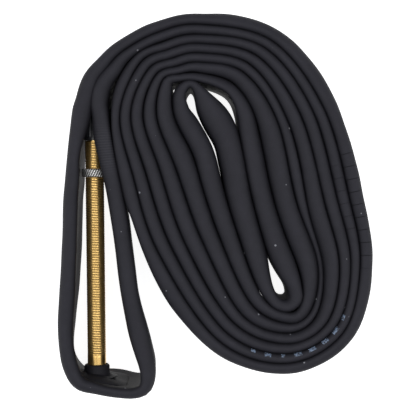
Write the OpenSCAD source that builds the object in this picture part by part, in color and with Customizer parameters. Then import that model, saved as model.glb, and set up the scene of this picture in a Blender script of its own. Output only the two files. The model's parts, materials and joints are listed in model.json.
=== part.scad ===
// Bicycle inner tube with a long slim valve, folded double and wound for storage.
// The tube stands on its edge. Z is up, and the origin is under the middle of the winding.
// All sizes are in millimetres.

/* [Tube] */
// Flat width of the empty tube, which is its height as it stands on edge
flat_width = 25; // [20:0.5:32]
// Thickness of the two flattened walls together
tube_thick = 2; // [1.4:0.1:2.2]

/* [Valve base] */
// Length of the reinforcing pad along the tube
pad_length = 21; // [16:1:22]
// Height of the pad across the tube
pad_width = 18; // [14:1:20]
// Thickness of the pad
pad_thick = 2; // [1.4:0.1:2.2]
// Diameter of the rubber boss around the foot of the stem
boss_d = 8.2; // [7:0.1:9]
// Height of the boss above the pad
boss_h = 2.6; // [2:0.1:3.4]

/* [Stem] */
// Outside diameter of the threaded stem
stem_d = 6; // [5:0.1:6.2]
// Length of the stem from the pad to its top shoulder
stem_length = 75; // [45:1:76]
// Length of smooth stem between the boss and the thread
smooth_length = 2.6; // [1:0.2:5]
// Depth of the thread
thread_depth = 0.35; // [0.2:0.05:0.5]
// Diameter of the air way through the stem
airway_d = 2.6; // [2:0.1:2.8]
// Diameter of the foot moulded into the rubber
foot_d = 7.2; // [6.4:0.1:7.4]
// Thickness of the foot
foot_t = 0.8; // [0.6:0.1:1]
// Upward slope of the stem in degrees
stem_rise = 2; // [0:0.5:3]
// Sideways slope of the stem in degrees
stem_lean = 0.5; // [0:0.25:1]

/* [Rim nut] */
// Wall of the nut outside the stem thread
nut_wall = 1.2; // [0.8:0.1:1.3]
// Thickness of the nut
nut_t = 2.7; // [2:0.1:4]
// Length of thread left bare above the nut
nut_from_top = 9; // [5:0.5:30]

/* [Valve core] */
// Diameter of the plug that screws into the stem
core_d = 4; // [3.6:0.1:4.2]
// Depth of the plug in the stem
core_depth = 9; // [6:0.5:12]
// Step in from the stem to the neck thread that takes the cap or a pump
neck_step = 0.45; // [0.35:0.05:0.5]
// Height of the neck above the stem
neck_h = 6; // [5:0.2:6.4]
// Height of the flats at the foot of the neck
flat_h = 1.6; // [1.2:0.1:2]
// Depth of the two flats
flat_depth = 0.4; // [0.3:0.05:0.5]
// Diameter of the pin's rod
rod_d = 1.2; // [1:0.1:1.3]
// Diameter of the pin's thread
pin_d = 2; // [1.8:0.1:2.2]
// Length of pin above the neck
pin_out = 6.4; // [5.6:0.2:6.8]
// Diameter of the lock nut
lock_d = 3.8; // [3.4:0.1:4]
// Height of the lock nut
lock_h = 3.2; // [2.6:0.1:3.6]
// Distance that the pin drops when the lock nut is fully open
pin_drop = 2; // [1.5:0.1:2.4]
// Height of the gasket under the plug
gasket_h = 1.4; // [1:0.1:2]
// Length of the core's spigot below the gasket
spigot_h = 2.4; // [2:0.2:4]
// Height of the rubber seal on the pin
seal_h = 1.5; // [1:0.1:2]

/* [Cap] */
// Wall of the cap at its mouth
cap_wall = 0.75; // [0.6:0.05:0.9]
// Thickness of the cap's closed end
cap_end = 1.2; // [0.8:0.1:1.4]
// Radius of the cap's blunt tip
cap_tip = 1.2; // [0.8:0.1:1.4]
// Distance that the cap lifts as its thread runs out
cap_lift = 4.5; // [3:0.5:5]

/* [Clearances] */
// Radial clearance of the nuts, the cap and the pin
run_gap = 0.05; // [0.03:0.01:0.1]
// Clearance between pieces that are fixed together
fixed_gap = 0.02; // [0.01:0.01:0.05]
// Clearance between the tube and the nut or the cap
loop_gap = 0.4; // [0.3:0.1:0.6]

/* [Hidden] */
$fn = 64;
// Overlap that keeps a cut from ending on a face
cut = 0.5;

// Where the stem starts, on the pad's face
foot_x = -38.5;
foot_y = -54.8;
foot_z = flat_width / 2;

// Radii
stem_r = stem_d / 2;
nut_r = stem_r + nut_wall;
neck_r = stem_r - neck_step;
core_r = core_d / 2;
lock_r = lock_d / 2;
pin_r = pin_d / 2;
rod_r = rod_d / 2;
airway_r = airway_d / 2;
cap_r = neck_r + run_gap + cap_wall;

// Heights along the stem's axis
thread_low = boss_h + smooth_length;
nut_place = stem_length - nut_from_top - nut_t;
nut_mid = nut_place + nut_t / 2;
neck_top = stem_length + neck_h;
plug_low = stem_length - core_depth;
gasket_low = plug_low - gasket_h;
spigot_low = gasket_low - spigot_h;
pin_top = neck_top + pin_out;
cap_low = stem_length + 3 * run_gap;
cap_top = pin_top + 0.8 + cap_end;
// Ends of the cap's straight mouth, of its slope and of its nose
mouth_top = cap_low + 3;
slope_top = neck_top + lock_h - 1.6;
nose_low = cap_top - 2;
shoulder_r = cap_r - 0.5;
nose_r = cap_tip + 1;
pin_room = pin_drop + 2;

// Point of the stem's axis, seen from above, at a height along it
function axis_x(height) = foot_x - height * sin(stem_lean) * cos(stem_rise);
function axis_y(height) = foot_y + height * cos(stem_lean) * cos(stem_rise);

// Distance from the axis to the middle of the tube that passes a round piece
function beside(radius) = radius + loop_gap + tube_thick / 2;
function left_of(height, radius) = [axis_x(height) - beside(radius), axis_y(height)];
function right_of(height, radius) = [axis_x(height) + beside(radius), axis_y(height)];

// The winding. Each row is one place around it: the middle of the outermost layer, the middle of
// the sixth layer, and how much the layers crowd towards the outside there. It runs clockwise.
ring = [
    [[-31, 49], [-18, 39.5], -0.12],
    [[-19.5, 55.2], [-11.5, 42], -0.05],
    [[-5, 58], [-5, 43], 0],
    [[19, 52.5], [7.5, 40], 0.05],
    [[36, 30.5], [17, 25], 0.1],
    [[44.5, 2.5], [24, -2], 0],
    [[47.5, -19], [29.5, -20.5], 0.1],
    [[41.5, -41.5], [28, -33], 0.15],
    [[22.5, -52], [22.5, -36], 0.15],
    [[-0.5, -44.5], [12.5, -30], 0.17],
    [[-20, -16.5], [3.5, -9], 0.2],
    [[-28, 8], [-4.5, 14], 0.28],
    [[-31.8, 28], [-11, 27], 0.33]];
places = len(ring);
// Layers wound side by side, and the layer number of a row's second point
strands = 2;
far_layer = 5;

// Point of one layer at one place, counted round and round from the first row
function layer_point(place, strand) =
    let (row = ring[place % places])
    let (share = (strands * floor(place / places) + strand) / far_layer)
    row[0] + (row[1] - row[0]) * (share + row[2] * share * (share - 1));

// The first strand goes round three times, and the second one place less
turns = 3;
first_strand = [for (place = [0:turns * places]) layer_point(place, 0)];
second_strand = [for (place = [turns * places - 1:-1:0]) layer_point(place, 1)];

// The middle of the winding, from the last layer through both hairpins
core_path = [[-11.5, 39.6], [-5, 39.4], [3.5, 36], [8, 29], [10, 21], [12.5, 9], [15.5, -2],
    [19, -13], [22.5, -21], [25.2, -27], [25.8, -30.5], [23.2, -32.8], [19.5, -32], [16.5, -27.5],
    [13.5, -20], [11, -10], [8.5, 1], [6, 13], [3.5, 22], [-1, 31], [-5, 35.2], [-9, 36.2],
    [-12, 34], [-12, 30.5]];

// The loop that carries the valve, from the left end of the winding down to the base and back up
// Beside the valve it clears the nut, and the cap when it is lifted.
left_side = [[-37, 44.6], [-41, 40.8], left_of(nose_low + cap_lift, nose_r),
    left_of(slope_top + cap_lift, shoulder_r), left_of(mouth_top + cap_lift, cap_r),
    left_of(nut_mid, nut_r), [-45.9, 0], [-46.6, -14], [-47.2, -27], [-47.7, -38], [-47.3, -45.5],
    [-45.9, -52], [-43, -56.6]];
right_side = [[-37.5, -57.8], [-31, -58.8], [-26, -59.2], [-22.8, -57.9], [-22.2, -53.5],
    [-23.7, -46.5], [-25.6, -38.5], [-27.6, -28], [-29.3, -15], [-31.2, -3], right_of(nut_mid, nut_r),
    right_of(cap_low, cap_r), right_of(mouth_top + cap_lift, cap_r),
    right_of(slope_top + cap_lift, shoulder_r), [-34.4, 38], [-32, 42.4]];

// One endless path: the winding first, then the valve's loop from the second strand to the first
winding_path = concat(first_strand, core_path, second_strand);
loop_up = [for (i = [len(right_side) - 1:-1:0]) right_side[i]];
loop_down = [for (i = [len(left_side) - 1:-1:0]) left_side[i]];
path = concat(winding_path, loop_up, loop_down);

// Smooth curve through the path's points, in short straight steps
steps = 4;
function curve_at(i, t) =
    let (n = len(path))
    let (a = path[(i + n - 1) % n], b = path[i], c = path[(i + 1) % n], d = path[(i + 2) % n])
    (2 * b + (c - a) * t + (2 * a - 5 * b + 4 * c - d) * t * t + (3 * b - a - 3 * c + d) * t * t * t) / 2;
curve = [for (i = [0:len(path) - 1]) for (s = [0:steps - 1]) curve_at(i, s / steps)];
count = len(curve);

// Last step of the winding, and the step beside the valve's foot
winding_end = (len(winding_path) - 1) * steps;
foot_step = (len(winding_path) + len(right_side) - 1) * steps;

// Point beside the curve: a positive distance is to the left of the direction of travel
function side_point(i, distance) =
    let (ahead = curve[(i + 1) % count] - curve[(i + count - 1) % count])
    curve[i % count] + distance * [-ahead[1], ahead[0]] / norm(ahead);

// Upright wall that follows the curve from one step to another, between two side distances
module follow(first, last, near, far, height) {
    outline = concat(
        [for (i = [first:last]) side_point(i, near)],
        [for (i = [last:-1:first]) side_point(i, far)]);
    linear_extrude(height)
        polygon(outline);
}

// Puts the stem's axis, drawn upright, where it stands in the loop
module on_stem() {
    translate([foot_x, foot_y, foot_z])
        rotate([stem_rise - 90, 0, stem_lean])
            children();
}

// Round piece with an outline given as radius and height pairs
module turned(outline) {
    rotate_extrude()
        polygon(outline);
}

// Upright bore along the stem's axis
module bore(radius, low, high) {
    translate([0, 0, low])
        cylinder(r = radius, h = high - low);
}

// The wound part of the tube
module tube_coil() {
    color([0.16, 0.16, 0.18])
        follow(0, winding_end, -tube_thick / 2, tube_thick / 2, flat_width);
}

// The loop of tube that carries the valve
module tube_valve_loop() {
    color([0.18, 0.18, 0.2])
        follow(winding_end, count, -tube_thick / 2, tube_thick / 2, flat_width);
}

// Rubber pad and boss that hold the stem's foot
module valve_base() {
    pad_steps = floor(pad_length / 2.6 / 2);
    pad_face = -tube_thick / 2 - fixed_gap;
    color([0.13, 0.13, 0.14])
        difference() {
            union() {
                translate([0, 0, (flat_width - pad_width) / 2])
                    follow(foot_step - pad_steps, foot_step + pad_steps, pad_face, pad_face - pad_thick,
                        pad_width);
                on_stem()
                    turned([[0, -pad_thick / 2], [boss_d / 2, -pad_thick / 2], [boss_d / 2, boss_h - 0.6],
                        [boss_d / 2 - 0.6, boss_h], [0, boss_h]]);
            }
            on_stem() {
                bore(stem_r + fixed_gap, 0, boss_h + cut);
                bore(foot_d / 2 + fixed_gap, -fixed_gap, foot_t + fixed_gap);
                bore(airway_r, -2 * pad_thick, cut);
            }
        }
}

// Brass stem: foot, smooth band, ring-cut thread, shoulder, and the seat for the core
module valve_stem() {
    root_r = stem_r - thread_depth;
    color([0.83, 0.66, 0.3])
        on_stem()
            difference() {
                turned([[0, 0], [foot_d / 2, 0], [foot_d / 2, foot_t], [stem_r, foot_t],
                    [stem_r, thread_low], [root_r, thread_low + thread_depth],
                    [root_r, thread_low + 2 * thread_depth], [stem_r, thread_low + 3 * thread_depth],
                    [stem_r, stem_length - thread_depth], [root_r, stem_length], [0, stem_length]]);
                bore(airway_r, -cut, stem_length + cut);
                bore(core_r + fixed_gap, gasket_low - fixed_gap, stem_length + cut);
            }
}

// Knurled nut that runs along the stem
module rim_nut() {
    edge = 0.35;
    color([0.8, 0.8, 0.82])
        on_stem()
            difference() {
                translate([0, 0, nut_place])
                    turned([[0, 0], [nut_r - edge, 0], [nut_r, edge], [nut_r, nut_t - edge],
                        [nut_r - edge, nut_t], [0, nut_t]]);
                bore(stem_r + run_gap, nut_place - cut, nut_place + nut_t + cut);
            }
}

// Brass body of the valve core: spigot, plug, flats and neck thread
module core_body() {
    spigot_r = airway_r - fixed_gap;
    guide_r = pin_r + run_gap;
    flat_half = neck_r - flat_depth;
    color([0.8, 0.68, 0.38])
        on_stem()
            difference() {
                union() {
                    bore(spigot_r, spigot_low, plug_low);
                    bore(core_r, plug_low, stem_length);
                    intersection() {
                        bore(neck_r, stem_length, stem_length + flat_h);
                        translate([-flat_half, -stem_r, stem_length])
                            cube([2 * flat_half, stem_d, flat_h]);
                    }
                    bore(neck_r, stem_length + flat_h, neck_top);
                }
                bore(rod_r + 0.2, spigot_low - cut, neck_top);
                bore(guide_r, neck_top - pin_room, neck_top + cut);
            }
}

// Rubber ring squeezed between the core and its seat in the stem
module core_gasket() {
    color([0.75, 0.2, 0.16])
        on_stem()
            difference() {
                bore(core_r, gasket_low, plug_low - fixed_gap);
                bore(airway_r, gasket_low - cut, plug_low);
            }
}

// Pin that opens the valve when it is pressed
module valve_pin() {
    color([0.85, 0.74, 0.45])
        on_stem() {
            bore(rod_r, spigot_low - seal_h, neck_top - 1);
            bore(airway_r - 0.35, spigot_low - seal_h - 0.5, spigot_low - seal_h);
            bore(pin_r, neck_top - 1, pin_top);
        }
}

// Rubber seal that the pin pulls against the end of the core
module pin_seal() {
    color([0.1, 0.1, 0.1])
        on_stem()
            difference() {
                bore(airway_r - 0.2, spigot_low - seal_h + fixed_gap, spigot_low - fixed_gap);
                bore(rod_r + fixed_gap, spigot_low - seal_h - cut, spigot_low + cut);
            }
}

// Small knurled nut that locks the pin shut
module lock_nut() {
    edge = 0.3;
    color([0.82, 0.7, 0.4])
        on_stem()
            difference() {
                translate([0, 0, neck_top + run_gap])
                    turned([[0, 0], [lock_r - edge, 0], [lock_r, edge], [lock_r, lock_h - 3 * edge],
                        [lock_r - 2 * edge, lock_h], [0, lock_h]]);
                bore(pin_r + run_gap, neck_top - cut, pin_top);
            }
}

// Plastic dust cap
module valve_cap() {
    lock_room = neck_top + lock_h + 0.4;
    lock_side = lock_r + 0.2;
    pin_side = pin_r + 0.4;
    color([0.08, 0.08, 0.09])
        on_stem()
            difference() {
                turned([[0, cap_low], [cap_r, cap_low], [cap_r, mouth_top], [shoulder_r, slope_top],
                    [nose_r, nose_low], [cap_tip, cap_top - 0.5], [cap_tip - 0.5, cap_top],
                    [0, cap_top]]);
                turned([[0, cap_low - cut], [neck_r + run_gap, cap_low - cut],
                    [neck_r + run_gap, neck_top + 0.4], [lock_side, neck_top + 0.6],
                    [lock_side, lock_room], [pin_side, lock_room + 0.4],
                    [pin_side, cap_top - cap_end], [0, cap_top - cap_end]]);
            }
}

tube_coil();
tube_valve_loop();
valve_base();
valve_stem();
rim_nut();
core_body();
core_gasket();
valve_pin();
pin_seal();
lock_nut();
valve_cap();
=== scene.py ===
import json
import math
import bpy
import numpy as np
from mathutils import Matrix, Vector

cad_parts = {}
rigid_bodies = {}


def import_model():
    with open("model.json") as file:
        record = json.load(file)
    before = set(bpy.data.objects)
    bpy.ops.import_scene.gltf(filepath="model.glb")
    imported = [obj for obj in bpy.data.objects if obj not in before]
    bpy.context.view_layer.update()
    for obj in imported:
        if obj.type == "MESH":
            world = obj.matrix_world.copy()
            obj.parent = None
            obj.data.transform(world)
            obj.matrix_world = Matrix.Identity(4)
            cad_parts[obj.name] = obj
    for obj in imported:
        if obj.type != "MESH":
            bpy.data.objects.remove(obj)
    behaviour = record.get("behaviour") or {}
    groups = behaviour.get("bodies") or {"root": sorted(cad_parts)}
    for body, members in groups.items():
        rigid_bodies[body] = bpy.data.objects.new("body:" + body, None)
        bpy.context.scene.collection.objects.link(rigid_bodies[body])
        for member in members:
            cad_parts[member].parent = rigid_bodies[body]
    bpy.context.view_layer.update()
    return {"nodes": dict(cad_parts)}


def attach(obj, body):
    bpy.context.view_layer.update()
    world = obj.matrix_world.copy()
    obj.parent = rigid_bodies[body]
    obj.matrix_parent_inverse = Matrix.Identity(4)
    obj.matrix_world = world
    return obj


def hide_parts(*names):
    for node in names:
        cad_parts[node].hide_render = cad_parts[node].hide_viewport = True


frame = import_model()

mm = 0.001
print("frame loaded:", len(frame["nodes"]), "nodes")


# wraps one socket, so that shader maths reads as plain sums
class Wire:
    def __init__(self, tree, socket=None):
        self.tree = tree
        self.socket = socket

    # any node: its kind, its settings first, then values or links for its sockets
    def make(self, kind, settings=None, sockets=None, out=0):
        node = self.tree.nodes.new(kind)
        for key, value in (settings or {}).items():
            setattr(node, key, value)
        for key, value in (sockets or {}).items():
            self.feed(node.inputs[key], value)
        return Wire(self.tree, node.outputs[out] if len(node.outputs) else None)

    def feed(self, target, value):
        if isinstance(value, Wire):
            self.tree.links.new(value.socket, target)
        else:
            target.default_value = value

    def maths(self, operation, *values):
        return self.make("ShaderNodeMath", {"operation": operation}, dict(enumerate(values)))

    def __add__(self, other):
        return self.maths("ADD", self, other)

    def __radd__(self, other):
        return self.maths("ADD", other, self)

    def __sub__(self, other):
        return self.maths("SUBTRACT", self, other)

    def __rsub__(self, other):
        return self.maths("SUBTRACT", other, self)

    def __mul__(self, other):
        return self.maths("MULTIPLY", self, other)

    def __rmul__(self, other):
        return self.maths("MULTIPLY", other, self)

    # 0 below low, 1 above high, smooth between
    def step(self, low, high):
        return self.make("ShaderNodeMapRange", {"interpolation_type": "SMOOTHSTEP"},
                         {"Value": self, "From Min": low, "From Max": high})

    # this value picks between two colours
    def pick(self, first, second):
        return self.make("ShaderNodeMix", {"data_type": "RGBA"}, {0: self, 6: first, 7: second}, 2)


def startMaterial(name):
    material = bpy.data.materials.new(name)
    material.use_nodes = True
    material.node_tree.nodes.clear()
    return material, Wire(material.node_tree)


def closeMaterial(bench, sockets):
    surface = bench.make("ShaderNodeBsdfPrincipled", {}, sockets)
    bench.make("ShaderNodeOutputMaterial", {}, {"Surface": surface})


def objectPlace(bench):
    return bench.make("ShaderNodeTexCoord", out="Object")


def noiseOf(bench, scale, detail=2.0, roughness=0.5):
    return bench.make("ShaderNodeTexNoise", {}, {"Vector": objectPlace(bench), "Scale": scale,
                                                 "Detail": detail, "Roughness": roughness})


def attributeOf(bench, name):
    return bench.make("ShaderNodeAttribute", {"attribute_name": name}, out="Fac")


def bumpOf(bench, height, distance):
    return bench.make("ShaderNodeBump", {}, {"Height": height, "Distance": distance})


# the tube's rubber; lengths are in metres and noise scales are per metre
rubberLook = {
    "dark": (0.0085, 0.0082, 0.0108, 1),
    "light": (0.0300, 0.0288, 0.0372, 1),
    "talc": (0.30, 0.30, 0.33, 1),
    # painted shade for the pleats' creases
    "pleatShade": (0.006, 0.006, 0.008, 1),
    "print": (0.062, 0.061, 0.07, 1),
    "patchScale": 75.0,         # cloudy shade, about 13 mm across
    "smudgeScale": 420.0,       # handling smudges, 2 to 3 mm
    "grainScale": 5200.0,       # matt skin of the rubber
    "flowScale": (60.0, 60.0, 1500.0),      # faint lines along the flat sides
    "bloomScale": 2600.0,
    "talcScale": 210.0,         # loose grains, about one in 5 mm
    "pleatGap": 0.00205,        # half the distance between two pleats
    "printPitch": 0.00082,      # thread lines pressed into the rubber
    "roughness": 0.66,
    "roughSpread": 0.14,
    "grain": 0.00004,
    "specular": 0.24,
}


def makeRubber(name, look):
    material, bench = startMaterial(name)
    patches = noiseOf(bench, look["patchScale"], 3.0, 0.55)
    smudges = noiseOf(bench, look["smudgeScale"], 3.0, 0.6)
    grain = noiseOf(bench, look["grainScale"], 2.0, 0.6)
    drawn = bench.make("ShaderNodeMapping", {}, {"Vector": objectPlace(bench), "Scale": look["flowScale"]})
    flow = bench.make("ShaderNodeTexNoise", {}, {"Vector": drawn, "Scale": 1.0, "Detail": 2.0})
    tone = patches * 0.45 + smudges * 0.4 + grain * 0.15
    crownPaintedLight = attributeOf(bench, "crownPaintedLight")                 # painted light on the bead tops, painted shade on their sides
    # the bead tops are painted lighter and their sides darker, as painted light and shade; a quarter of the
    # mix is random tone
    skin = (crownPaintedLight * 0.75 + tone.step(0.34, 0.66) * 0.25).pick(look["dark"], look["light"])

    # talc: a thin bloom in patches, and a few loose grains
    bloom = smudges.step(0.56, 0.78) * noiseOf(bench, look["bloomScale"], 3.0, 0.7).step(0.52, 0.7) * 0.05
    cells = {"Vector": objectPlace(bench), "Scale": look["talcScale"], "Randomness": 1.0}
    grainGap = bench.make("ShaderNodeTexVoronoi", {}, cells, "Distance")
    grainSize = bench.make("ShaderNodeSeparateColor", {}, {
        "Color": bench.make("ShaderNodeTexVoronoi", {}, cells, "Color")})
    grains = (grainSize * 0.085 - grainGap).step(0.0, 0.022)
    colour = (bloom + grains * 0.8).pick(skin, look["talc"])

    # pleats across the outer strand, with painted shade darkening their creases, and the stem thread's print
    # in the rubber beside it
    along = attributeOf(bench, "along")
    pleatLine = along.maths("PINGPONG", along, look["pleatGap"]).step(0.00017, 0.00005)
    pleats = pleatLine * attributeOf(bench, "pleated")
    threadLine = along.maths("SINE", along * (2 * math.pi / look["printPitch"])) * 0.5 + 0.5
    printed = threadLine * attributeOf(bench, "pressed")
    # the pleat lines are painted darker, as painted shade in the creases
    colour = (pleats * 0.75).pick(colour, look["pleatShade"])
    colour = (printed * 0.45).pick(colour, look["print"])

    relief = grain * 0.6 + smudges * 0.8 + flow * 0.5 - pleats * 3.0 + printed * 1.2
    closeMaterial(bench, {
        "Base Color": colour,
        "Roughness": tone * look["roughSpread"] + (look["roughness"] - look["roughSpread"] / 2),
        "Specular IOR Level": look["specular"],
        "Normal": bumpOf(bench, relief, look["grain"])})
    return material


# smooth moulded rubber and plastic
def makeMould(name, look):
    material, bench = startMaterial(name)
    grain = noiseOf(bench, 3800.0, 3.0, 0.6)
    cloud = noiseOf(bench, 260.0, 3.0, 0.55)
    closeMaterial(bench, {
        "Base Color": (cloud * 0.7 + grain * 0.3).step(0.3, 0.7).pick(look["dark"], look["light"]),
        "Roughness": cloud * 0.2 + look["roughness"],
        "Specular IOR Level": look["specular"],
        "Normal": bumpOf(bench, grain + cloud * 1.5, look["grain"])})
    return material


# turned metal: bright on the crests; the grooves are painted dark, partly as grime and partly as painted
# shade in the recesses
def makeMetal(name, look):
    material, bench = startMaterial(name)
    groove = attributeOf(bench, "groove")
    cloud = noiseOf(bench, 330.0, 3.0, 0.6)
    fine = noiseOf(bench, 6500.0, 2.0, 0.6)
    stain = (cloud * 0.75 + fine * 0.25).step(0.42, 0.74)
    bright = (stain * look["stain"]).pick(look["bright"], look["dull"])
    closeMaterial(bench, {
        # the grooves are painted darker: grime and painted shade in the thread and knurl recesses
        "Base Color": (groove * look["grooveGrimeAndShade"]).pick(bright, look["grooveDirtAndShade"]),
        "Metallic": 1.0 - groove * 0.25,
        "Roughness": groove * 0.22 + stain * 0.12 + fine * 0.06 + look["roughness"],
        "Normal": bumpOf(bench, fine, 0.000006)})
    return material


# the groove colour and how much of it is used: grime and painted shade in the grooves
brassLook = {"bright": (0.92, 0.60, 0.21, 1), "dull": (0.62, 0.34, 0.09, 1),
             "grooveDirtAndShade": (0.16, 0.09, 0.03, 1), "stain": 0.25, "grooveGrimeAndShade": 0.4, "roughness": 0.25}
coreLook = {"bright": (0.84, 0.62, 0.28, 1), "dull": (0.6, 0.4, 0.16, 1),
            "grooveDirtAndShade": (0.16, 0.1, 0.04, 1), "stain": 0.45, "grooveGrimeAndShade": 0.7, "roughness": 0.22}
nickelLook = {"bright": (0.95, 0.94, 0.92, 1), "dull": (0.6, 0.58, 0.55, 1),
              "grooveDirtAndShade": (0.035, 0.032, 0.03, 1), "stain": 0.2, "grooveGrimeAndShade": 0.9, "roughness": 0.3}
mouldLook = {"dark": (0.0115, 0.011, 0.0138, 1), "light": (0.0205, 0.0197, 0.0245, 1),
             "roughness": 0.56, "specular": 0.24, "grain": 0.00003}
capLook = {"dark": (0.012, 0.013, 0.016, 1), "light": (0.022, 0.023, 0.027, 1),
           "roughness": 0.26, "specular": 0.5, "grain": 0.000012}
gasketLook = {"dark": (0.35, 0.035, 0.02, 1), "light": (0.52, 0.07, 0.045, 1),
              "roughness": 0.4, "specular": 0.4, "grain": 0.00001}
sealLook = {"dark": (0.014, 0.014, 0.015, 1), "light": (0.026, 0.026, 0.028, 1),
            "roughness": 0.4, "specular": 0.4, "grain": 0.00001}


# worn ink: pale blue where it still holds, rubber where it has rubbed off
def makeInk(name, look):
    material, bench = startMaterial(name)
    worn = noiseOf(bench, 1500.0, 3.0, 0.65).step(0.42, 0.54)
    cloud = noiseOf(bench, 500.0, 2.0)
    ink = cloud.pick(look["deep"], look["pale"])
    closeMaterial(bench, {
        "Base Color": worn.pick(rubberLook["light"], ink),
        "Roughness": 0.5,
        "Normal": bumpOf(bench, worn, 0.00001)})
    return material


inkLook = {"deep": (0.10, 0.14, 0.21, 1), "pale": (0.27, 0.35, 0.49, 1)}
finishes = {
    "ink": makeInk("paleInk", inkLook),
    "tube_rubber": makeRubber("tubeRubber", rubberLook),
    "base_rubber": makeMould("baseRubber", mouldLook),
    "stem_brass": makeMetal("stemBrass", brassLook),
    "core_brass": makeMetal("coreBrass", coreLook),
    "nut_nickel": makeMetal("nutNickel", nickelLook),
    "gasket_rubber": makeMould("gasketRubber", gasketLook),
    "seal_rubber": makeMould("sealRubber", sealLook),
    "cap_plastic": makeMould("capPlastic", capLook),
}
print("finishes made:", len(finishes))


# one visible piece: it rides a body, stands for nodes and carries its marks and finish
def placePiece(name, points, faces, slot, body, nodes=(), marks=None, finish=None):
    mesh = bpy.data.meshes.new(name)
    mesh.from_pydata([tuple(p) for p in points], [], [tuple(f) for f in faces])
    mesh.shade_smooth()
    for key, values in (marks or {}).items():
        mesh.attributes.new(key, "FLOAT", "POINT").data.foreach_set("value", values)
    piece = bpy.data.objects.new(name, mesh)
    bpy.context.scene.collection.objects.link(piece)
    mesh.materials.append(finishes[finish or slot])
    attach(piece, body)
    if nodes:
        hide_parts(*nodes)
    return piece


# quads between rings of equal size, closed around, and closed end to end when looped
def ringFaces(rings, size, looped):
    faces = []
    for i in range(rings if looped else rings - 1):
        here, there = i * size, (i + 1) % rings * size
        for k in range(size):
            j = (k + 1) % size
            faces.append((here + k, here + j, there + j, there + k))
    return faces


def smoothStep(x):
    x = np.clip(x, 0, 1)
    return x * x * (3 - 2 * x)


# slow random wave of about unit height around a closed length
def softWave(seed, along, length, shortest, longest, count=9):
    dice = np.random.default_rng(seed)
    total = np.zeros_like(along)
    for k in range(count):
        rounds = max(1, round(length / dice.uniform(shortest, longest)))
        total += np.sin(2 * np.pi * rounds * along / length + dice.uniform(0, 2 * np.pi))
    return total / math.sqrt(count / 2)


# the valve's own frame, in millimetres: its heights run up the stem
valveFrame = {
    "foot": (-38.5, -54.8, 12.5),      # where the stem leaves the pad
    "axis": (-0.0087212, 0.9993528, 0.0348995),
}
stemAxis = Vector(valveFrame["axis"]).normalized()
stemSide = stemAxis.cross(Vector((0, 0, 1))).normalized()
stemUp = stemSide.cross(stemAxis).normalized()
stemFoot = Vector(valveFrame["foot"])


def valvePoint(radius, turn, height):
    spot = stemFoot + stemAxis * height
    spot = spot + (stemSide * math.cos(turn) + stemUp * math.sin(turn)) * radius
    return (spot.x * mm, spot.y * mm, spot.z * mm)


def axisAt(height):
    return stemFoot.x + stemAxis.x * height, stemFoot.y + stemAxis.y * height


# the tube, in millimetres
tube = {
    "height": 25.0,
    "middleHalf": 1.0,          # half thickness of the flattened middle
    "coilBead": 4.83,           # half bead in the winding, where there is room
    "widestBead": 5.04,
    "loopBead": 2.5,            # and in the loop around the valve
    "freeBead": 2.3,            # and on the winding's outer side
    "footShare": 0.78,          # the loop's lower bead is this much of its upper one
    "slimmestBead": 1.12,
    "press": 0.05,              # how far two beads press into each other
    "waist": 4.5,               # height over which the bead becomes the flat middle
    "stepLength": 1.2,
    "crownFlat": 0.35,          # a bead rises by this much
    "crownRound": 0.86,         # and by this share of its half width
    "topPlay": 0.35,            # the top edge stays this far below the full height
    "footWander": 0.12,         # how much the lower edge wanders
    "rise": 0.42,               # how much the top edge wanders
    "sway": 0.04,               # how much the strands tilt
    "swell": 0.05,              # how much the beads change in width
    "strandGap": 1.4,           # from a round piece of the valve to the loop's middle
}
# pieces of the valve that the loop passes; radii and heights up the stem
stem = {"radius": 3.0, "footRadius": 3.6, "pitch": 0.8, "depth": 0.09, "threadLow": 5.2,
        "threadHigh": 74.9, "rowsPerPitch": 9, "turns": 88}
rimNut = {"radius": 4.2, "low": 63.3, "high": 66.0, "bore": 3.05, "ridges": 30,
          "ridgeDepth": 0.2, "lean": 0.36, "turns": 240}
cap = {"radius": 3.35, "low": 75.15, "top": 89.4, "lift": 4.5, "mouth": 3.0, "taper": 0.5,
       "noseRadius": 2.2, "ribLow": 75.9, "ribHigh": 82.4, "ribs": 24, "ribDepth": 0.14, "turns": 144}

# the winding's laps between an outer and an inner point, and how they crowd towards one side
ringRows = [
    ((-31, 49), (-18, 39.5), -0.12), ((-19.5, 55.2), (-11.5, 42), -0.05), ((-5, 58), (-5, 43), 0),
    ((19, 52.5), (7.5, 40), 0.05), ((36, 30.5), (17, 25), 0.1), ((44.5, 2.5), (24, -2), 0),
    ((47.5, -19), (29.5, -20.5), 0.1), ((41.5, -41.5), (28, -33), 0.15),
    ((22.5, -52), (22.5, -36), 0.15), ((-0.5, -44.5), (12.5, -30), 0.17),
    ((-20, -16.5), (3.5, -9), 0.2), ((-28, 8), (-4.5, 14), 0.28), ((-31.8, 28), (-11, 27), 0.33)]
# the two folds in the middle
corePath = [
    (-11.5, 39.6), (-5, 39.4), (3.5, 36), (8, 29), (10, 21), (12.5, 9), (15.5, -2), (19, -13),
    (22.5, -21), (25.2, -27), (25.8, -30.5), (23.2, -32.8), (19.5, -32), (16.5, -27.5), (13.5, -20),
    (11, -10), (8.5, 1), (6, 13), (3.5, 22), (-1, 31), (-5, 35.2), (-9, 36.2), (-12, 34),
    (-12, 30.5)]


# one layer's point at one place, counted round and round from the first row
def layerPoint(place, strand):
    near, far, crowd = ringRows[place % len(ringRows)]
    share = (2 * (place // len(ringRows)) + strand) / 5
    share = share + crowd * share * (share - 1)
    return (near[0] + (far[0] - near[0]) * share, near[1] + (far[1] - near[1]) * share)


# a point of the loop that passes a round piece of the valve
def passing(side, height, radius):
    x, y = axisAt(height)
    return (x + side * (radius + tube["strandGap"]), y)


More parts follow.
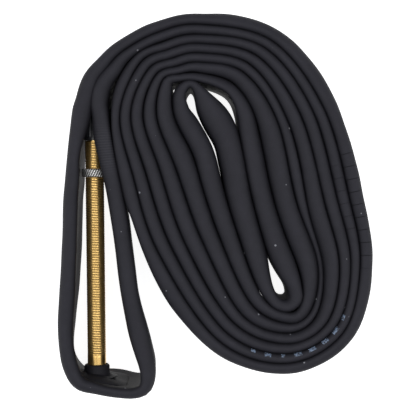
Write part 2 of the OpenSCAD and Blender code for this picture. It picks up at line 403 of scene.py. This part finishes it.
def loopPoints():
    nutMid = (rimNut["low"] + rimNut["high"]) / 2
    mouthTop, slopeTop, noseLow = cap["low"] + cap["mouth"], 82.6, cap["top"] - 2
    shoulder, nose, lift = cap["radius"] - cap["taper"], cap["noseRadius"], cap["lift"]
    left = [(-37, 44.6), (-41, 40.8), passing(-1, noseLow + lift, nose),
            passing(-1, slopeTop + lift, shoulder), passing(-1, mouthTop + lift, cap["radius"]),
            passing(-1, nutMid, rimNut["radius"]), (-45.9, 0), (-46.6, -14), (-47.2, -27),
            (-47.7, -38), (-47.3, -45.5), (-45.9, -52), (-43, -56.6)]
    right = [(-37.5, -57.8), (-31, -58.8), (-26, -59.2), (-22.8, -57.9), (-22.2, -53.5),
             (-23.7, -46.5), (-25.6, -38.5), (-27.6, -28), (-29.3, -15), (-31.2, -3),
             passing(1, nutMid, rimNut["radius"]), passing(1, cap["low"], cap["radius"]),
             passing(1, mouthTop + lift, cap["radius"]), passing(1, slopeTop + lift, shoulder),
             (-34.4, 38), (-32, 42.4)]
    return right[::-1] + left[::-1]


# smooth closed curve through the knots, cut into equal steps
def evenRoute(knots, fine=24):
    knots = np.array(knots, float)
    before, after, later = np.roll(knots, 1, 0), np.roll(knots, -1, 0), np.roll(knots, -2, 0)
    t = (np.arange(fine) / fine)[None, :, None]
    a, b, c, d = (k[:, None, :] for k in (before, knots, after, later))
    curve = (2 * b + (c - a) * t + (2 * a - 5 * b + 4 * c - d) * t ** 2
             + (3 * b - a - 3 * c + d) * t ** 3) / 2
    curve = curve.reshape(-1, 2)
    gaps = np.linalg.norm(np.roll(curve, -1, 0) - curve, axis=1)
    along = np.concatenate([[0], np.cumsum(gaps)])
    count = round(along[-1] / tube["stepLength"])
    wanted = np.arange(count) * along[-1] / count
    closed = np.vstack([curve, curve[:1]])
    even = np.stack([np.interp(wanted, along, closed[:, k]) for k in (0, 1)], 1)
    return even, along[-1]


firstStrand = [layerPoint(place, 0) for place in range(3 * len(ringRows) + 1)]
secondStrand = [layerPoint(place, 1) for place in range(3 * len(ringRows) - 1, -1, -1)]
route, tubeLength = evenRoute(firstStrand + corePath + secondStrand + loopPoints())
padMiddle = (-38.5, -57.7)
# the count starts under the valve's pad, where the join can't be seen
start = int(np.argmin(np.linalg.norm(route - np.array(padMiddle), axis=1)))
route = np.roll(route, -start, 0)
routeCount = len(route)
along = np.arange(routeCount) * tubeLength / routeCount
print("tube route:", routeCount, "steps,", round(tubeLength), "mm")


# length along the tube of the route's nearest point
def lengthAt(x, y):
    return along[int(np.argmin(np.hypot(route[:, 0] - x, route[:, 1] - y)))]


# distance along the tube, the short way round
def awayFrom(place):
    gap = np.abs(along - place)
    return np.minimum(gap, tubeLength - gap)


# how strongly each step of the tube is at a place on it
def nearness(x, y, reach):
    return np.exp(-(awayFrom(lengthAt(x, y)) / reach) ** 2)


# small shifts of the soft strands: x, y, reach along the tube, shift
nudges = [
    (-11, 30.5, 7, (1.1, 0)), (-6.8, 17, 9, (1.5, 0)), (-0.2, 29.4, 7, (-0.7, 0)),
    (4.8, 17, 9, (-0.2, 0)), (8.5, 1, 12, (-0.6, 0)), (23.3, 1, 14, (-1.0, 0)),
    (28, 0, 14, (-0.5, 0)), (-9, 38, 5, (0, 1.6)), (8, 29, 7, (0.7, 0.3)),
]
shifts = [nearness(x, y, reach)[:, None] * np.array(shift) for x, y, reach, shift in nudges]
route = route + sum(shifts)
ahead = np.roll(route, -1, 0) - np.roll(route, 1, 0)
ahead /= np.linalg.norm(ahead, axis=1)[:, None]
leftward = np.stack([-ahead[:, 1], ahead[:, 0]], 1)


# 1 between two lengths, fading out over a short distance
def stretch(first, last, fade=6.0):
    first, last = min(first, last), max(first, last)
    return smoothStep((along - first) / fade + 0.5) * smoothStep((last - along) / fade + 0.5)


def evened(values, reach=4):
    kernel = np.hanning(2 * reach + 3)[1:-1]
    padded = np.concatenate([values[-reach:], values, values[:reach]])
    return np.convolve(padded, kernel / kernel.sum(), "valid")


# places where an edge leans: x, y, reach along the tube, shift of the top and of the foot
edgeLeans = [
    (-43.9, 29.4, 8, (0.5, 0), (0, 0)), (-42.6, 37.5, 6, (1.8, -0.4), (1.4, 0)),
    (-37.6, 43.9, 6, (1.0, -0.4), (1.0, 0)), (-34.5, 29.4, 7, (-1.6, 0), (0, 0)),
    (-34.5, 36, 5, (-1.2, 0), (-1.2, 0)), (-33.2, 7, 11, (0.6, 0), (0.3, 0)),
    (-29.0, -20, 12, (0.1, 0), (-0.3, 0)), (-26.2, -38, 12, (0.4, 0), (-0.5, 0)),
    (-45.2, 11, 12, (-0.4, 0), (-0.2, 0)), (-46.6, -14, 14, (0.4, 0), (0.6, 0)),
    (-47.6, -38, 9, (0, 0), (-0.9, 0)), (-46.3, -50, 7, (0, 0), (-3.2, 0)),
    (-32, -59.0, 9, (0.2, -1.0), (0, 2.6)),
]
# open slots between strands: x, y, reach, how far the beads stay back
slots = [
    (-10.0, 37.2, 2.6, 3.2), (-8.9, 33.6, 3.0, 2.2), (-6.2, 29.8, 2.6, 1.0), (-4.2, 26.3, 2.5, 0.45),
    (-2.2, 21.6, 3.0, 0.28), (0.2, 17.5, 2.4, 0.45), (1.2, 14.8, 1.6, 0.25),
    (-0.4, 35.6, 2.6, 1.7), (2.7, 32.6, 2.8, 2.2), (4.3, 29.4, 2.6, 1.5), (5.5, 26.4, 2.4, 0.6),
    (17.2, -21.0, 2.4, 1.2), (19.0, -24.9, 2.8, 2.3), (20.9, -28.0, 2.8, 2.9),
]
# changes to how wide the beads may be: x, y, reach, on the outer side, on the inner side
trims = [
    (34, 38, 14, 0.7, 0), (46.5, -2, 9, -0.4, 0), (46, -30, 10, 0.4, 0), (-14, -27, 14, 1.1, 0),
    (-23.3, -9, 8, -0.5, 0), (10, -50, 14, -0.3, 0), (-14, 57, 13, -0.5, 0), (-37, 42.5, 8, -0.5, 0),
    (6, 59, 8, 0.7, 0), (-41, 37, 7, -0.4, 0), (-24, -44, 9, 1.0, 0.2),
    (-22.3, -53, 6, 0.8, -0.4), (-29, -20, 18, 0.5, 0.6), (-46.8, -14, 26, 0.3, 0),
    (-45.2, 12, 8, 0.2, -1.2), (-47.4, -32, 10, 0, 0.4), (-33, -58.8, 9, 0.3, -1.5),
    (-30.5, -6, 6, 0.4, 0),
]
# strands that take more or less than their share of the room: x, y, reach, share, drop
shares = [
    (8.2, 1, 40, 1.35, 0), (-0.2, 29.4, 16, 1.3, 0), (28, 0, 30, 0.62, 0.3), (31.5, -20, 16, 0.4, 1.9),
    (35.3, -7, 24, 1.15, 0), (41.0, 1, 40, 0.85, 0.2), (-31.8, 28, 20, 0.9, 0.2),
    (18, 30, 14, 0.7, 1.0), (-14, 1, 30, 1.1, 0), (-6.0, 1, 30, 1.15, 0.2),
    (-9.5, -14, 26, 1.0, 0.7), (12, -42, 16, 0.8, 0.6), (26, -40, 12, 0.85, 0.5),
]
# 1 on the loop around the valve, fading to 0 where it joins the winding
joinsWinding = lengthAt(-33.2, 8.4) - 18
leavesWinding = lengthAt(-44, 30)
onLoop = smoothStep((along - joinsWinding) / 20) + smoothStep((leavesWinding - along) / 14)
onLoop = np.clip(onLoop, 0, 1)

share = np.ones(routeCount)
drop = np.zeros(routeCount)
for x, y, reach, part, sink in shares:
    share *= part ** nearness(x, y, reach)
    drop += sink * nearness(x, y, reach)


# how the strands look for their neighbours, in millimetres
search = {
    "nothing": 99.0,            # room where no strand stands on that side
    "farthest": 60.0,
    "itself": 14.0,             # nearer than this along the tube is the same strand
    "width": 1.6,
    "outerFree": 5.6,           # more room than this leaves the outer lap's bead free
    "innerFree": 12.0,
    "slotCore": 2.5,            # a slot works in full up to this far from its middle
}


# room to the next strand on each side, and the part of it that this strand takes
def sideRoom():
    rooms = np.full((2, routeCount), search["nothing"])
    for i in range(routeCount):
        apart = route - route[i]
        forward, side = apart @ ahead[i], apart @ leftward[i]
        other = (awayFrom(along[i]) > search["itself"]) & (np.abs(forward) < search["width"])
        for row, distance in enumerate((side, -side)):
            found = np.where(other & (distance > 0), distance, search["nothing"])
            k = int(np.argmin(found))
            if found[k] < search["farthest"]:
                rooms[row, i] = 2 * found[k] * share[i] / (share[i] + share[k])
    return rooms


# how far the beads on one side stay back for the open slots
def heldBack(sign):
    back = np.zeros(routeCount)
    for x, y, reach, space in slots:
        apart = np.array((x, y)) - route
        facing = (apart * leftward).sum(1) * sign > 0
        near = np.exp(-((np.hypot(*apart.T) - search["slotCore"]).clip(0) / reach) ** 2)
        back = np.maximum(back, facing * space * smoothStep(1.1 * near - 0.1))
    return back


rooms = sideRoom()
thumb = 1 + tube["swell"] * softWave(5, along, tubeLength, 9, 60, 15)
widest = (tube["coilBead"] + (tube["loopBead"] - tube["coilBead"]) * onLoop) * thumb
outerLap = along < lengthAt(-26.4, 2)
halves = []
for row, sign in enumerate((1, -1)):
    free = rooms[row] > np.where((row == 0) & outerLap, search["outerFree"], search["innerFree"])
    most = np.where(free, np.minimum(widest, tube["freeBead"] * thumb), widest)
    for x, y, reach, *changes in trims:
        most = most + nearness(x, y, reach) * changes[row]
    half = np.minimum(most, rooms[row] / 2 + tube["press"]) - heldBack(sign)
    halves.append(evened(np.clip(half, tube["slimmestBead"], tube["widestBead"])))
halfLeft, halfRight = halves
footShare = 1 - (1 - tube["footShare"]) * onLoop
topEdge = tube["height"] - tube["topPlay"] - drop
topEdge += 0.6 * tube["rise"] * np.clip(softWave(11, along, tubeLength, 60, 240), -2, 1.6)
footEdge = np.maximum(0, tube["footWander"] * softWave(12, along, tubeLength, 50, 200))
sway = tube["sway"] * softWave(13, along, tubeLength, 25, 90)
leanTop = np.zeros((routeCount, 2))
leanFoot = np.zeros((routeCount, 2))
for x, y, reach, top, foot in edgeLeans:
    leanTop += nearness(x, y, reach)[:, None] * np.array(top)
    leanFoot += nearness(x, y, reach)[:, None] * np.array(foot)
tipTurns = [math.radians(a) for a in (74, 58, 43, 28, 14, 0)]
waistShares = [0.25, 0.5, 0.75, 1.0]


# one side of the tube's section at every step, from its top bead to its foot: height and thickness
def sideColumns(half):
    foot = half * footShare
    middle = np.minimum(tube["middleHalf"], foot - 0.05)
    topRise = tube["crownFlat"] + tube["crownRound"] * half
    footRise = tube["crownFlat"] + tube["crownRound"] * foot
    upper, lower = topEdge - topRise, footEdge + footRise
    columns = [(upper + topRise * math.sin(turn), half * math.cos(turn)) for turn in tipTurns]
    for part in waistShares:
        columns.append((upper - tube["waist"] * part, half + (middle - half) * smoothStep(part)))
    columns.append(((upper + lower) / 2, middle))
    for part in reversed(waistShares):
        columns.append((lower + tube["waist"] * part, foot + (middle - foot) * smoothStep(part)))
    return columns + [(lower - footRise * math.sin(turn), foot * math.cos(turn))
                      for turn in reversed(tipTurns)]


# one ring of the section at every step: top, right side, foot, left side
def tubeRings():
    right = [(height, -thick) for height, thick in sideColumns(halfRight)]
    left = [(height, thick) for height, thick in sideColumns(halfLeft)]
    columns = [(topEdge, 0 * topEdge)] + right + [(footEdge, 0 * topEdge)] + left[::-1]
    rings = np.zeros((routeCount, len(columns), 3))
    for k, (height, across) in enumerate(columns):
        lift = height / tube["height"] * 2 - 1
        upper, lower = np.clip(lift, 0, 1)[:, None], np.clip(-lift, 0, 1)[:, None]
        shift = leanTop * upper ** 2.4 + leanFoot * lower ** 2
        rings[:, k, :2] = route + leftward * (across + sway * lift)[:, None] + shift
        rings[:, k, 2] = height
    return rings


# keeps the skin clear of the cap along its whole lift: height up the stem, and how far to stay away
capWay = [(73.5, 0), (74.0, 3.6), (78.6 + cap["lift"], 3.6), (83.1 + cap["lift"], 3.2),
          (87.8 + cap["lift"], 2.6), (90.0 + cap["lift"], 1.6), (91.0 + cap["lift"], 0)]


def clearOfCap(rings):
    apart = rings - np.array(stemFoot)
    side, up = apart @ np.array(stemSide), apart @ np.array(stemUp)
    keep = np.interp(apart @ np.array(stemAxis), *zip(*capWay), 0, 0)
    need = np.sqrt(np.clip(keep ** 2 - up ** 2, 0, None))
    push = np.sign(side) * np.clip(need - np.abs(side), 0, None)
    return rings + push[..., None] * np.array(stemSide)


rings = clearOfCap(tubeRings())
ringSize = rings.shape[1]
# pleats on the outer strand and its neighbour, and the thread's print beside the stem
pleated = stretch(lengthAt(40.8, 17), lengthAt(47.3, -20), 8) + 0.55 * stretch(
    lengthAt(36.5, 12), lengthAt(43.2, -12), 8)
pressed = stretch(lengthAt(-33.0, 11), lengthAt(-34.2, 24), 8) * 0.8
# 1 along the top of the bead, 0 from its widest place down: the mask of the painted light on the bead tops
flank = [max(0.0, math.sin(turn)) ** 2 for turn in tipTurns]
flank += [0.0] * (ringSize // 2 - 1 - len(flank))
crownPaintedLight = np.tile([1.0] + flank + [0.0] + flank[::-1], routeCount)


def perPoint(values):
    return np.repeat(np.clip(values, 0, 1), ringSize)


tubeBody = placePiece(
    "tube_body", rings.reshape(-1, 3) * mm, ringFaces(routeCount, ringSize, True), "tube_rubber",
    "tube", ("tube_coil", "tube_valve_loop"),
    {"along": np.repeat(along * mm, ringSize), "pleated": perPoint(pleated),
     "pressed": perPoint(pressed), "crownPaintedLight": crownPaintedLight})
print("tube body:", len(tubeBody.data.vertices), "points")


# worn pale bars printed on the second strand, at the foot of the winding
bars = {
    "first": (12.0, -47.9), "last": (40.4, -36.2),
    "sizes": [(1.6, 1.6, 4.6), (2.3, 1.0, 4.8), (1.3, 1.5, 5.2), (2.6, 1.0, 5.1), (2.5, 0.9, 4.7),
              (2.4, 0.8, 4.9), (2.8, 1.1, 5.2), (1.8, 1.3, 4.4)],   # long, from and to across
    "lift": 0.03, "sink": 0.05, "rows": 5, "columns": 6,
    "heartDepth": 1.6,          # the bead's middle, from which the lift is taken
    "windingMiddle": (12.0, -10.0),
}


# a point on the tube's skin, or a little above it
def onSkin(length, turn, lift):
    step = length / tubeLength * routeCount
    i, k = int(step), int(math.floor(turn))
    share, part = step - i, turn - k
    near, far = rings[i % routeCount], rings[(i + 1) % routeCount]
    spot = (near[k % ringSize] * (1 - part) + near[(k + 1) % ringSize] * part) * (1 - share)
    spot = spot + (far[k % ringSize] * (1 - part) + far[(k + 1) % ringSize] * part) * share
    heart = np.append(route[i % routeCount], topEdge[i % routeCount] - bars["heartDepth"])
    return spot + (spot - heart) / np.linalg.norm(spot - heart) * lift


# thin closed slab between two grids of points of the same size
def slabFaces(rows, columns, first=0):
    count = rows * columns
    faces = []
    for i in range(rows - 1):
        for k in range(columns - 1):
            a = first + i * columns + k
            square = (a, a + 1, a + columns + 1, a + columns)
            faces.append(square)
            faces.append(tuple(v + count for v in reversed(square)))
    rim = (list(range(columns)) + [i * columns + columns - 1 for i in range(1, rows)]
           + [(rows - 1) * columns + k for k in range(columns - 2, -1, -1)]
           + [i * columns for i in range(rows - 2, 0, -1)])
    for a, b in zip(rim, rim[1:] + rim[:1]):
        faces.append((first + b, first + a, first + a + count, first + b + count))
    return faces


def makeBars():
    start, end = lengthAt(*bars["first"]), lengthAt(*bars["last"])
    middle = int((start + end) / 2 / tubeLength * routeCount)
    inward = np.array(bars["windingMiddle"]) - route[middle]
    side = -1 if leftward[middle] @ inward > 0 else 1
    points, faces = [], []
    rows, columns = bars["rows"], bars["columns"]
    for n, (long, low, high) in enumerate(bars["sizes"]):
        place = start + (end - start) * n / (len(bars["sizes"]) - 1)
        first = len(points)
        for lift in (bars["lift"], -bars["sink"]):
            for i in range(rows):
                for k in range(columns):
                    across = low + (high - low) * k / (columns - 1)
                    spread = long * (i / (rows - 1) - 0.5) * (1 - 0.15 * (k % 2) * (i % 2))
                    points.append(onSkin(place + spread, side * across, lift) * mm)
        faces += slabFaces(rows, columns, first)
    return placePiece("printed_bars", points, faces, "tube_rubber", "tube", finish="ink")


makeBars()
print("printed bars made")


# rubber base of the valve: a feathered pad on the tube's inner face, and a boss
base = {
    "long": 21.0, "tall": 18.0, "thick": 1.75, "edge": 0.25, "tuck": 0.7, "rows": 41, "columns": 25,
    "bossRadius": 4.1, "bossTop": 2.6, "lip": 0.75, "skirt": 2.6, "skirtLow": -1.35, "skirtTall": 2.2,
    "bore": stem["radius"] + 0.02, "turns": 64,
}


def makeBase():
    rows, columns = base["rows"], base["columns"]
    middle = lengthAt(*padMiddle)
    points = []
    for layer in (0, 1):
        for i in range(rows):
            for k in range(columns):
                u, v = i / (rows - 1) * 2 - 1, k / (columns - 1) * 2 - 1
                length = (middle + u * base["long"] / 2) % tubeLength
                step = length / tubeLength * routeCount
                here, share = int(step), step - int(step)
                centre = route[here % routeCount] * (1 - share) + route[(here + 1) % routeCount] * share
                swell = (1 - u * u) ** 1.5 * (1 - v ** 4)
                inset = base["tuck"] if layer else base["tuck"] + base["edge"] + base["thick"] * swell
                centre = centre - leftward[here % routeCount] * inset
                high = max(0.0, v * base["tall"] / tube["height"]) ** 2.4 * leanTop[here % routeCount]
                low = max(0.0, -v * base["tall"] / tube["height"]) ** 2 * leanFoot[here % routeCount]
                centre = centre + high + low
                tall = base["tall"] * (1 - 0.22 * u ** 4)
                spot = (centre[0], centre[1], (tube["height"] + v * tall) / 2)
                points.append(tuple(value * mm for value in spot))
    faces = slabFaces(rows, columns)
    # the boss: a flared skirt, a straight side and a rounded lip around the stem
    outline = [(base["bore"], base["skirtLow"] - 0.15)]
    for n in range(9):
        turn = math.radians(90 * n / 8)
        outline.append((base["bossRadius"] + base["skirt"] * (1 - math.sin(turn)) ** 1.3,
                        base["skirtLow"] + base["skirtTall"] * (1 - math.cos(turn))))
    for n in range(7):
        turn = math.radians(90 * n / 6)
        outline.append((base["bossRadius"] - base["lip"] * (1 - math.cos(turn)),
                        base["bossTop"] - base["lip"] * (1 - math.sin(turn))))
    outline.append((base["bore"], base["bossTop"] - 0.15))
    first, turns = len(points), base["turns"]
    for radius, height in outline:
        for k in range(turns):
            turn = 2 * math.pi * k / turns
            wobble = 1 + 0.012 * math.sin(3 * turn + 1.0) + 0.01 * math.sin(5 * turn)
            stretchOut = radius * (wobble if radius > 3.4 else 1)
            points.append(valvePoint(stretchOut, turn, height))
    faces += [tuple(v + first for v in face) for face in ringFaces(len(outline), turns, True)]
    return placePiece("valve_base_rubber", points, faces, "base_rubber", "tube", ("valve_base",))


makeBase()
print("valve base made")


# a round piece of the valve, turned about the stem's axis
# the outline is radius and height pairs; it runs round a bore, or from axis to axis when solid
def turnedPiece(name, outline, turns, slot, body, node, shape=None, solid=False):
    points, groove = [], []
    for radius, height in outline:
        for k in range(turns):
            turn = 2 * math.pi * k / turns
            cutIn, depth = shape(radius, height, turn) if shape else (0.0, 0.0)
            points.append(valvePoint(radius - cutIn, turn, height))
            groove.append(depth)
    faces = ringFaces(len(outline), turns, not solid)
    if solid:
        for row, flip in ((0, False), (len(outline) - 1, True)):
            points.append(valvePoint(0, 0, outline[row][1]))
            groove.append(0.0)
            for k in range(turns):
                pair = (row * turns + k, row * turns + (k + 1) % turns)
                pair = pair if flip else pair[::-1]
                faces.append(pair + (len(points) - 1,))
    piece = placePiece(name, points, faces, slot, body, (node,), {"groove": groove})
    piece.data.set_sharp_from_angle(angle=math.radians(48))
    return piece


# rows at one radius between two heights
def rows(radius, low, high, gap):
    count = max(1, round((high - low) / gap))
    return [(radius, low + (high - low) * k / count) for k in range(count + 1)]


# helical groove: how deep it cuts in at a height and turn, and how far down its side that is
def threadCut(height, turn, pitch, depth, low, high):
    phase = (height / pitch - turn / (2 * math.pi)) % 1.0
    down = (0.5 - 0.5 * math.cos(2 * math.pi * phase)) ** 2
    fade = float(smoothStep((height - low) / pitch) * smoothStep((high - height) / pitch))
    return down * depth * fade, down * fade


def stemShape(radius, height, turn):
    if radius < 2.9 or not stem["threadLow"] - 0.1 < height < stem["threadHigh"] + 0.1:
        return 0.0, 0.0
    return threadCut(height, turn, stem["pitch"], stem["depth"], stem["threadLow"], stem["threadHigh"])


# foot, smooth band, thread, rounded end, seat for the core and air way
turnedPiece(
    "valve_stem_threaded",
    [(1.3, 0), (stem["footRadius"] - 0.15, 0), (stem["footRadius"], 0.15), (stem["footRadius"], 0.65),
     (stem["footRadius"] - 0.15, 0.8), (stem["radius"], 0.8)]
    + rows(stem["radius"], 1.0, stem["threadLow"], 0.6)
    + rows(stem["radius"], stem["threadLow"] + 0.09, 74.75, stem["pitch"] / stem["rowsPerPitch"])
    + [(2.9, 74.9), (2.65, 75.0), (2.02, 75), (2.02, 64.6), (1.3, 64.6)],
    stem["turns"], "stem_brass", "tube", "valve_stem", stemShape)


def nutShape(radius, height, turn):
    if radius < 3.6:
        return 0.0, 0.0
    rise = (height - rimNut["low"]) / (rimNut["high"] - rimNut["low"])
    wave = 0.5 + 0.5 * math.cos(rimNut["ridges"] * (turn + rimNut["lean"] * (rise - 0.5)))
    down = float(smoothStep(wave * 1.25 - 0.15))
    inner = float(smoothStep((radius - 3.75) / 0.35))
    return rimNut["ridgeDepth"] * down * inner, down * inner


turnedPiece(
    "rim_nut_knurled",
    [(rimNut["bore"], 63.45), (3.2, rimNut["low"]), (3.75, rimNut["low"]), (3.98, 63.38), (4.14, 63.52)]
    + rows(rimNut["radius"], 63.66, 65.64, 0.18)
    + [(4.14, 65.78), (3.98, 65.92), (3.75, rimNut["high"]), (3.2, rimNut["high"]), (rimNut["bore"], 65.85)],
    rimNut["turns"], "nut_nickel", "rim_nut", "rim_nut", nutShape)


core = {"plugRadius": 2.0, "neckRadius": 2.55, "flatHalf": 2.15, "flatTop": 76.62, "turns": 64}
# threads: pitch, depth, and the heights between which they are cut
neckThread = (1.06, 0.32, 76.9, 80.8)
plugThread = (0.7, 0.15, 70, 74.6)


def coreShape(radius, height, turn):
    if radius > 2.4 and height < core["flatTop"]:
        flat = core["flatHalf"] / max(abs(math.cos(turn)), 0.01)
        return max(0.0, radius - flat), 0.0
    if radius > 2.4:
        return threadCut(height, turn, *neckThread)
    if 1.9 < radius < 2.05 and height > 70:
        return threadCut(height, turn, *plugThread)
    return 0.0, 0.0


turnedPiece(
    "core_body_turned",
    [(0.8, 62.2), (1.18, 62.2), (1.28, 62.35), (1.28, 66.0), (1.9, 66.0), (core["plugRadius"], 66.15)]
    + rows(core["plugRadius"], 70.0, 74.8, 0.1) + [(core["plugRadius"], 75.0)]
    + [(core["neckRadius"], height) for height in (75.0, 75.1, 76.5, 76.6)]
    + rows(core["neckRadius"], 76.7, 80.75, 0.12)
    + [(2.45, 80.9), (2.3, 81.0), (1.15, 81.0), (1.05, 80.9), (1.05, 77.0), (0.8, 77.0)],
    core["turns"], "core_brass", "tube", "core_body", coreShape)
turnedPiece(
    "core_gasket_ring",
    [(1.3, 64.72), (1.38, 64.6), (1.86, 64.6), (1.96, 64.7), (2.0, 64.9), (2.0, 65.7), (1.96, 65.88),
     (1.86, 65.98), (1.38, 65.98), (1.3, 65.86)],
    48, "gasket_rubber", "tube", "core_gasket")


pin = {"flange": 0.95, "shank": 0.6, "radius": 1.0, "turns": 28}
pinThread = (0.4, 0.13, 80.2, 87.2)


def pinShape(radius, height, turn):
    if radius > 0.97 and height > 80:
        return threadCut(height, turn, *pinThread)
    return 0.0, 0.0


turnedPiece(
    "valve_pin_threaded",
    [(0.85, 60.2), (pin["flange"], 60.3), (pin["flange"], 60.6), (0.85, 60.7), (pin["shank"], 60.7),
     (pin["shank"], 79.9), (0.7, 80.0), (0.95, 80.0)]
    + rows(pin["radius"], 80.1, 87.15, 0.057) + [(0.9, 87.3), (0.75, 87.4)],
    pin["turns"], "core_brass", "valve_pin", "valve_pin", pinShape, True)
turnedPiece(
    "pin_seal_ring",
    [(0.62, 60.8), (0.7, 60.72), (1.02, 60.72), (1.1, 60.8), (1.1, 62.08), (1.02, 62.18), (0.7, 62.18),
     (0.62, 62.1)],
    40, "seal_rubber", "valve_pin", "pin_seal")


lockNut = {"radius": 1.9, "bore": 1.05, "ridges": 20, "ridgeDepth": 0.11, "turns": 120}


def lockShape(radius, height, turn):
    if radius < 1.5:
        return 0.0, 0.0
    down = float(smoothStep((0.5 + 0.5 * math.cos(lockNut["ridges"] * turn)) * 1.3 - 0.2))
    return lockNut["ridgeDepth"] * down, down


turnedPiece(
    "lock_nut_knurled",
    [(lockNut["bore"], 81.15), (1.12, 81.05), (1.6, 81.05), (1.78, 81.13)]
    + rows(lockNut["radius"], 81.35, 83.35, 0.25)
    + [(1.7, 83.7), (1.45, 84.05), (1.32, 84.22), (1.25, 84.25), (1.12, 84.25), (lockNut["bore"], 84.15)],
    lockNut["turns"], "core_brass", "lock_nut", "lock_nut", lockShape)


def capShape(radius, height, turn):
    if radius < 2.72 or not cap["ribLow"] < height < cap["ribHigh"] + 0.6:
        return 0.0, 0.0
    fade = float(smoothStep((height - cap["ribLow"]) / 0.5) * smoothStep((cap["ribHigh"] - height) / 0.6))
    down = float(smoothStep((0.5 + 0.5 * math.cos(cap["ribs"] * turn)) * 1.4 - 0.2))
    return cap["ribDepth"] * down * fade, down * fade


# hollow from the inside of the nose down, then the mouth, the tapered side and the nose
turnedPiece(
    "valve_cap_ribbed",
    [(1.35, 88.2), (1.4, 88.1), (1.4, 85.0), (2.1, 84.6), (2.1, 81.6), (2.6, 81.4), (2.6, 75.3),
     (2.7, cap["low"]), (3.22, cap["low"]), (3.33, 75.26)]
    + rows(cap["radius"], 75.4, 78.15, 0.3)
    + [(cap["radius"] - cap["taper"] * k / 12, 78.15 + 4.45 * k / 12) for k in range(1, 13)]
    + [(2.75, 83.4), (2.55, 85.0), (2.35, 86.5), (cap["noseRadius"], 87.4), (1.9, 88.0), (1.6, 88.5),
       (1.2, 88.95), (0.95, 89.22), (0.6, 89.38), (0.25, cap["top"])],
    cap["turns"], "cap_plastic", "valve_cap", "valve_cap", capShape, True)
print("valve pieces made")


# floor, light and camera, in metres; a soft box is its place, its width and length, and its power
stage = {
    "floorSize": 3.0, "floorGlow": 0.9, "floorShade": (0.82, 0.82, 0.82, 1),
    "worldShade": (0.80, 0.84, 0.90, 1), "worldStrength": 0.35,
    "softBoxes": [(-0.72, 0.0, 0.80, 0.32, 1.8, 5.9), (0.70, 0.0, 0.80, 0.32, 1.8, 5.6)],
    "camera": (-0.005, 0.001, 0.400), "lens": 107.2,
}


def makeStage():
    size = stage["floorSize"] / 2
    mesh = bpy.data.meshes.new("studio_floor")
    mesh.from_pydata([(-size, -size, 0), (size, -size, 0), (size, size, 0), (-size, size, 0)], [],
                     [(0, 1, 2, 3)])
    floor = bpy.data.objects.new("studio_floor", mesh)
    bpy.context.scene.collection.objects.link(floor)
    material, bench = startMaterial("studioFloor")
    paper = noiseOf(bench, 3.0, 2.0)
    shade = paper.pick(stage["floorShade"], tuple(0.98 * v for v in stage["floorShade"][:3]) + (1,))
    closeMaterial(bench, {"Base Color": shade, "Roughness": 0.9, "Specular IOR Level": 0.1,
                          "Emission Color": (1, 1, 1, 1), "Emission Strength": stage["floorGlow"]})
    mesh.materials.append(material)
    for n, (x, y, z, wide, long, power) in enumerate(stage["softBoxes"]):
        light = bpy.data.lights.new("softBox%d" % n, "AREA")
        light.shape = "RECTANGLE"
        light.size, light.size_y = wide, long
        light.energy = power
        lamp = bpy.data.objects.new("softBox%d" % n, light)
        lamp.location = (x, y, z)
        lamp.rotation_euler = (Vector((0, 0, 0)) - Vector((x, y, z))).to_track_quat("-Z", "Y").to_euler()
        bpy.context.scene.collection.objects.link(lamp)
    world = bpy.data.worlds.new("studioWorld")
    world.use_nodes = True
    world.node_tree.nodes.clear()
    bench = Wire(world.node_tree)
    sky = bench.make("ShaderNodeBackground", {}, {"Color": stage["worldShade"],
                                                  "Strength": stage["worldStrength"]})
    bench.make("ShaderNodeOutputWorld", {}, {"Surface": sky})
    bpy.context.scene.world = world
    bpy.context.scene.view_settings.view_transform = "Standard"


def makeCamera():
    lens = bpy.data.cameras.new("viewCamera")
    lens.lens = stage["lens"]
    lens.sensor_width = 36
    lens.clip_start = 0.01
    camera = bpy.data.objects.new("viewCamera", lens)
    camera.location = stage["camera"]
    bpy.context.scene.collection.objects.link(camera)
    bpy.context.scene.camera = camera


makeStage()
makeCamera()
print("stage, light and camera set")
